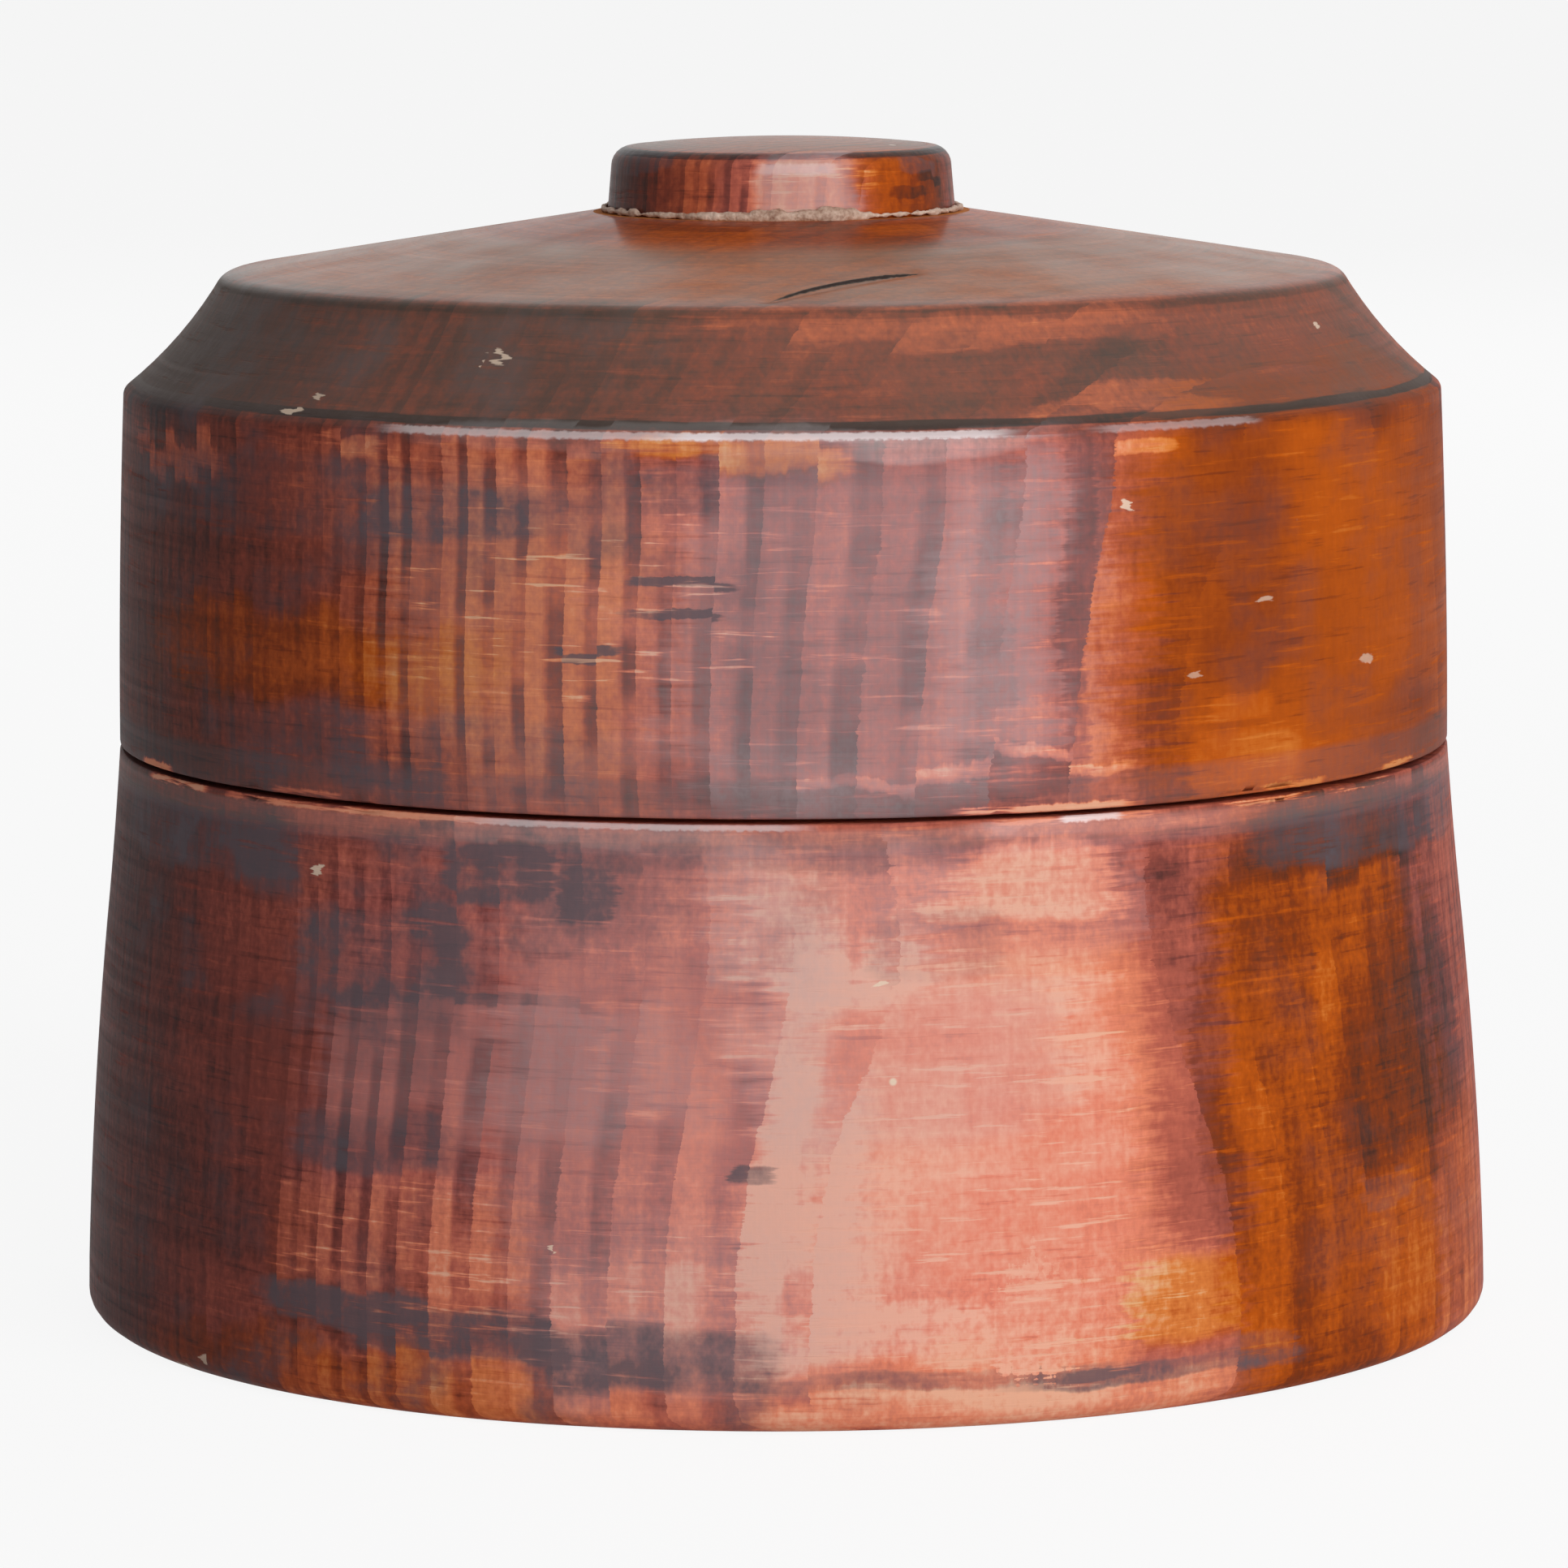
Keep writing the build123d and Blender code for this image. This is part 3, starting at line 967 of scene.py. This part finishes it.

# %% [markdown]
# The lid is dark and woven-looking on the left, deepened by painted shade, strongly ringed left
# of the middle, hazy mauve in the middle, where the haze is partly a painted sheen of the key
# lamp, and clear amber on the right. A pale line on the front of the shoulder is a painted
# highlight. The cove is duller than the wall, and the top is glossy.

# %% Lid finish
lid_outside_length = lid_end - lid_start
lid_look = {
    "rings": (50.0, 2.44, 4.2, 0.54, (-0.02, 0.033), (0.5, 78, 8)),
    "ring_contrast": 0.18,
    "ring_daubs": [
        (-18, 16, 15, 15, 0.16), (14, 16, 14, 15, 0.08), (54, 16, 22, 20, -0.14),
        (-66, 16, 24, 20, -0.1), (-140, 16, 30, 16, 0.1),
    ],
    "ring_bands": [(39.5, 6.5, -0.1), (1.4, 1.8, -0.08), (64, 17, -0.12)],
    "stain": 0.535,
    "cloudiness": 0.4,
    "top": 44.0,
    # Painted shade: darker on the left side and a little at the right edge, and even behind.
    "painted_shades": [(-28, -76, 0.28), (48, 80, 0.05), (100, 150, -0.06), (-110, -160, -0.29)],
    "smooth_daubs": [(56, 18, 24, 20, 0.7)],
    "stain_blots": [
        (40.5, 7.6, 3.4, 1.3, -0.10), (41, 2.4, 6.5, 3.0, -0.12), (31, 30.9, 3.2, 0.7, -0.24),
        (24, 17, 1.5, 15, 0.14), (16.8, 17, 1.2, 15, 0.08),
    ],
    "stain_daubs": [
        (-64, 28.6, 9, 1.5, -0.3), (-38, 30.8, 4, 1.0, -0.25), (-3, 31.0, 8.5, 1.2, -0.32),
        (-46, 12.7, 19, 3.0, -0.07), (-18, 14, 12, 10, -0.05), (8, 17, 14, 16, 0.06),
        (8, 2.0, 16, 1.8, 0.17), (-8, 3.5, 12, 3.0, 0.05), (22, 16, 6, 13, -0.02),
        (16, 4.2, 14, 0.6, -0.2), (58, 18, 12, 18, -0.05), (40, 20, 7, 11, 0.02),
        (41, 5, 8, 5, -0.02), (66, 4, 9, 3.0, 0.06), (-50, 40, 38, 8, 0.2), (0, 40, 34, 7, 0.12),
        (58, 40, 26, 8, 0.16), (31, 35, 9, 1.3, -0.2), (18, 44.6, 24, 1.6, -0.18),
        (24, 40.5, 13, 3.5, 0.06), (12, 57, 26, 8, -0.08), (22, 4, 7, 4, -0.12),
        (-34, 14, 10, 12, 0.05), (-20, 73, 16, 4.0, -0.14), (29, 76, 9, 2.0, -0.14),
        (120, 20, 18, 10, -0.2), (160, 8, 12, 6, 0.14), (-130, 22, 16, 8, -0.2),
        (-100, 12, 14, 8, 0.1), (-160, 10, 12, 7, -0.16),
    ],
    # The band at 45.8 darkens a thin line just under the edge of the conical top.
    "stain_bands": [(1.4, 1.8, 0.08), (45.8, 0.5, 0.12), (33.9, 0.5, 0.4), (64, 17, 0.06)],
    "rose": 0.55,
    "rose_daubs": [
        (6, 17, 18, 17, 0.45), (56, 16, 24, 20, -0.85), (-46, 12, 20, 4, -0.4),
        (-20, 13, 14, 10, -0.15), (-3, 31, 9, 1.5, -0.8), (120, 18, 22, 14, -0.6),
        (-150, 20, 20, 12, -0.4),
    ],
    "rose_bands": [(39.5, 6.5, -0.2), (64, 17, -0.6)],
    # The haze in the middle of the front is partly painted sheen of the key lamp; behind, it is milky
    # lacquer only.
    "haze_and_sheen_daubs": [
        (6, 17, 14, 15, 0.34), (20, 16, 7, 14, 0.13), (-20, 16, 12, 12, 0.14), (-8, 3, 16, 4, 0.1),
        (-125, 18, 16, 10, 0.2),
    ],
    "haze_and_sheen_bands": [(39.5, 6.5, 0.06), (1.4, 1.8, 0.08)],
    "ink_blots": [
        (-47, 26, 20, 3.5, 0.35), (-27, 25.5, 9, 2.2, 0.8), (-34, 4.5, 20, 3.5, 0.4),
        (-16, 14, 2.8, 0.45, 1.4), (-9, 17.3, 4, 0.4, 1.3), (-8, 20, 5, 0.4, 1.2),
        (-9, 27.5, 3, 2.0, 0.8), (-15, 27, 2.5, 5, 0.5), (4, 18, 9, 13, 0.22),
        (-62, 39, 22, 7, 0.2), (150, 24, 12, 5, 0.9), (110, 4, 16, 2.5, 0.8),
        (-105, 22, 10, 6, 0.8), (-150, 4, 16, 2.5, 0.8),
    ],
    "mottle_daubs": [
        (-50, 24, 26, 8, 0.36), (-44, 6, 26, 6, 0.36), (-50, 39, 36, 7, 0.35),
        (-12, 22, 14, 8, 0.25), (54, 20, 22, 16, 0.15), (140, 16, 34, 16, 0.45),
        (-130, 14, 30, 16, 0.45),
    ],
    "bare_edge": (0.2, 0.4, [
        (-67, 4, 0.8), (-43, 4, 0.5), (22, 8, 0.85), (47, 4, 0.6), (64, 4, 0.7), (130, 20, 0.6),
        (-120, 16, 0.6),
    ]),
    # Painted highlight: a pale line along the front of the shoulder where the key lamp would glint,
    # copied faintly behind.
    "painted_edge_highlight": (32.7, 0.42, [(5, 14, 0.8), (-20, 14, 0.5), (34, 8, 0.3), (150, 20, 0.3)]),
    "scratch_daubs": [(-14, 18, 14, 7, 0.4), (10, 14, 16, 12, 0.1), (-140, 16, 24, 10, 0.3)],
    "dust_bands": [(39.5, 6.5, 0.10), (58.5, 12, 0.30)],
    "flakes": [
        (29, 26, 0.4, 0.45, 0.8), (43, 16.8, 0.9, 0.25, 0.5), (57.5, 9.8, 1.0, 0.35, 0.5),
        (35, 10.6, 0.7, 0.22, 0.4), (-26.5, 41.2, 0.4, 0.9, 0.8), (-46, 33.8, 0.8, 0.35, 0.9),
        (-44, 35.6, 0.6, 0.35, 0.8), (62, 41.6, 0.5, 0.4, 0.8), (120, 22, 0.8, 0.5, 0.8),
        (-150, 12, 0.7, 0.4, 0.8),
    ],
    "crack": ((-1.3, -48.5), (11.8, -36.3), 0.46, 0.8),
    "rough": 0.55,
    "coat": lambda grain: (
        grain.along.rise(45.4, 46.8) * (0.08 + grain.mottle * 0.52)
        + grain.blots([(-4, 32.5, 26, 1.6, 1.0), (12, 58, 26, 9, -0.12)])
    ),
    "hidden": lambda grain: (grain.along < -0.6) + (grain.along > lid_outside_length),
}
lid_wood = stained_wood("lid_stain", lid_look)

# %% [markdown]
# The knob is a little redder, and its rings run another way, because it was turned from another
# scrap of the same wood. Its front is painted lighter and pinker as a highlight, its sides darker
# as painted shade, and its top edge carries a band of painted shade.

# %% Knob finish
knob_look = {
    "rings": (45.0, 1.5, 1.7, 0.1, (0.0, 0.0), (0.2, 104, 4)),
    "ring_contrast": 0.14,
    "ring_daubs": [(-34, 3, 18, 4, 0.16), (40, 3, 24, 4, -0.1)],
    "ring_bands": [(14, 7.0, -0.02)],
    "stain": 0.50,
    "cloudiness": 0.3,
    "top": 6.0,
    # Painted shade: both sides of the knob darker than its front, and even behind.
    "painted_shades": [(-20, -70, 0.34), (30, 70, 0.24), (120, 160, -0.05), (-110, -160, -0.15)],
    "smooth_daubs": [],
    # The first stain blot lightens the front as a painted highlight.
    "stain_blots": [(7, 3, 16, 2.6, -0.15), (48, 2.0, 9, 0.5, 0.16), (60, 3.4, 8, 0.5, 0.2)],
    # The first stain daub also lightens the front as a painted highlight.
    "stain_daubs": [
        (8, 3, 20, 4, -0.16), (38, 3.5, 8, 2.0, -0.02), (140, 3, 24, 4, -0.16),
        (-130, 3, 20, 4, -0.1),
    ],
    # The band at 6.1 darkens the rounding of the knob's top edge as painted shade.
    "stain_bands": [(6.1, 0.5, 0.35), (15, 7.0, 0.12)],
    "rose": 0.4,
    # The first rose daub gives that painted highlight its pink.
    "rose_daubs": [(2, 3, 24, 4, 0.35), (50, 3, 20, 5, -0.4)],
    "rose_bands": [(14, 7.0, -0.3)],
    # The haze daub paints part of the highlight on the knob's front.
    "haze_and_sheen_daubs": [(9, 3, 17, 3.5, 0.46)],
    "haze_and_sheen_bands": [],
    "dust_bands": [(14, 7.0, 0.2)],
    "flakes": [(-95, 3, 1.2, 0.3, 0.7)],
    "ink_blots": [
        (54, 4.6, 10, 0.9, 0.9), (-60, 5, 20, 1.2, 0.5), (160, 3, 8, 2, 0.6), (-110, 2, 20, 2, 0.6),
    ],
    "mottle_daubs": [(50, 3, 24, 4, 0.3), (-120, 3, 40, 4, 0.4)],
    "bare_edge": (5.2, 0.3, [(10, 22, 0.4)]),
    # Painted highlight: a pale line on the front of the knob's edge.
    "painted_edge_highlight": (4.6, 0.5, [(6, 14, 0.35)]),
    "scratch_daubs": [(10, 3, 22, 4, 0.35)],
    "rough": 0.42,
    "coat": lambda grain: grain.along.rise(4.5, 7.0) * 0.2 + 0.08,
    "hidden": lambda grain: grain.along < -0.2,
}
knob_wood = stained_wood("knob_stain", knob_look)

# %% [markdown]
# Now the three pieces are turned. The ends of the crack in the lid are given by bearing and by
# radius on the conical top.

# %% Turn the pieces
FACETS = 560
KNOB_FACETS = 320
OUT_OF_TRUE = 0.16 * MM
KNOB_OUT_OF_TRUE = 0.12 * MM
CHIP_DEPTH = 0.35 * MM
CRACK_DEPTH = 0.25 * MM
NO_LIP = -50.0


def on_top(bearing, radius):
    """A point on the lid's conical top."""
    share = (cove_edge[0] - radius) / (cove_edge[0] - flat_radius)
    height = cove_edge[1] + (flat_height - cove_edge[1]) * share
    turned = math.radians(bearing)
    return Vector((radius * math.sin(turned), -radius * math.cos(turned), height)) * MM


base_piece = turn("base_turned", base_section, base_start, base_end, {
    "Facets": FACETS,
    "Out Of True": OUT_OF_TRUE,
    "Lip Along": base_outside_length - 4.0,
    "Chip Depth": CHIP_DEPTH,
    "Finish": base_wood,
})
lid_piece = turn("lid_turned", lid_section, lid_start, lid_end, {
    "Facets": FACETS,
    "Out Of True": OUT_OF_TRUE,
    "Lip Along": 0.2,
    "Chip Depth": CHIP_DEPTH,
    "Crack Start": on_top(-1.5, 48.5),
    "Crack End": on_top(18.0, 38.2),
    "Crack Depth": CRACK_DEPTH,
    "Finish": lid_wood,
})
knob_piece = turn("knob_turned", knob_section, knob_start, knob_end, {
    "Facets": KNOB_FACETS,
    "Out Of True": KNOB_OUT_OF_TRUE,
    "Lip Along": NO_LIP,
    "Finish": knob_wood,
})

# %% [markdown]
# Glue was pressed out when the knob was set, and dried to a pale crust of uneven lumps in the
# corner round its foot. Its finish goes from brown in the hollows to nearly white.

# %% Glue finish
GLUE = [
    (0.30, (0.23, 0.105, 0.06)),
    (0.47, (0.50, 0.335, 0.25)),
    (0.70, (0.78, 0.60, 0.49)),
]
GLUE_BUMP = 0.2 * MM


def dried_glue():
    paint, bench = blank_paint("dried_glue")
    place = bench.node("ShaderNodeTexCoord", None, None, "Object")
    spot = bench.scaled(place, 1 / MM)
    grains = bench.noise(bench.scaled(spot, 2.4), 3.0)
    stain = bench.noise(bench.scaled(spot, 0.35), 2.0)
    colour = bench.ramp(GLUE, grains * 0.55 + stain * 0.45)
    sockets = {"Strength": 0.7, "Distance": GLUE_BUMP, "Height": grains}
    bump = bench.node("ShaderNodeBump", None, sockets)
    sockets = {"Base Color": colour, "Roughness": 0.62 + grains.swing(0.3), "Normal": bump}
    bench.finish("ShaderNodeOutputMaterial", bench.node("ShaderNodeBsdfPrincipled", None, sockets))
    print("glue has", len(bench.tree.nodes), "nodes")
    return paint


# %% [markdown]
# A thin ring whose thickness follows a noise is nearly that crust already. It is thickest in
# front, and a second noise roughens it.

# %% Glue crust
CRUST_POINTS = 420
CRUST_SIDES = 14
CRUST_THICKNESS = 0.92 * MM
CRUST_OUT = 0.35
CRUST_UP = 0.32
BEAD_WAVES = 190.0
LUMP_WAVES = 900.0
LUMP_SHARE = 0.9

crust = bpy.data.node_groups.new("glue_crust", "GeometryNodeTree")
crust_inputs = add_sockets(crust, {
    "Ring": "Geometry",
    "Thickness": "Float",
    "Thickest At": "Float",
    "Finish": "Material",
})


def fill_crust():
    bench, take = open_tree(crust, crust_inputs)
    place = bench.node("GeometryNodeInputPosition")

    x, y, _ = bench.parts(place)
    bearing = bench.math("ARCTAN2", x, 0.0 - y) * math.degrees(1.0)
    front = (bearing - take["Thickest At"]).math("ABSOLUTE").rise(38.0, 8.0)
    beads = bench.noise(bench.scaled(place, BEAD_WAVES), 2.0).rise(0.32, 0.72)
    swell = beads * (0.22 + front * 0.5) + 0.14 + front * 0.28
    ring = bench.node("GeometryNodeSetCurveRadius", None, {"Curve": take["Ring"], "Radius": swell})
    sockets = {"Resolution": CRUST_SIDES, "Radius": take["Thickness"]}
    dab = bench.node("GeometryNodeCurvePrimitiveCircle", None, sockets)
    scale = bench.node("GeometryNodeInputRadius")
    sockets = {"Curve": ring, "Profile Curve": dab, "Scale": scale}
    body = bench.node("GeometryNodeCurveToMesh", None, sockets)
    lumps = bench.noise(bench.scaled(place, LUMP_WAVES), 2.0).swing(take["Thickness"]) * LUMP_SHARE
    offset = bench.scaled(bench.node("GeometryNodeInputNormal"), lumps)
    body = bench.node("GeometryNodeSetPosition", None, {"Geometry": body, "Offset": offset})
    close_tree(bench, body, take["Finish"])


fill_crust()
crust_radius = (knob_radius + CRUST_OUT) * MM
crust_height = (flat_height + CRUST_UP) * MM
ring_points = []
for step in range(CRUST_POINTS):
    turned = 2 * math.pi * step / CRUST_POINTS
    ring_points.append((crust_radius * math.sin(turned), -crust_radius * math.cos(turned), crust_height))
crust_carrier = curve_through("crust_ring", ring_points)
crust_carrier.data.splines[0].use_cyclic_u = True
crust_piece = work("glue_crust", crust_carrier, crust, crust_inputs, {
    "Thickness": CRUST_THICKNESS,
    "Thickest At": 2.0,
    "Finish": dried_glue(),
})

# %% [markdown]
# Each piece now rides on its body and stands for the plain piece of the model that it dresses,
# which is hidden.

# %% Hand the pieces over
for piece, body, node, slot in (
    (base_piece, "base", "box_base", "base_wood"),
    (lid_piece, "lid", "lid", "lid_wood"),
    (knob_piece, "lid", "lid_knob", "knob_wood"),
    (crust_piece, "lid", "knob_glue_bead", "dried_glue"),
):
    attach(piece, body)
    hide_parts(node)
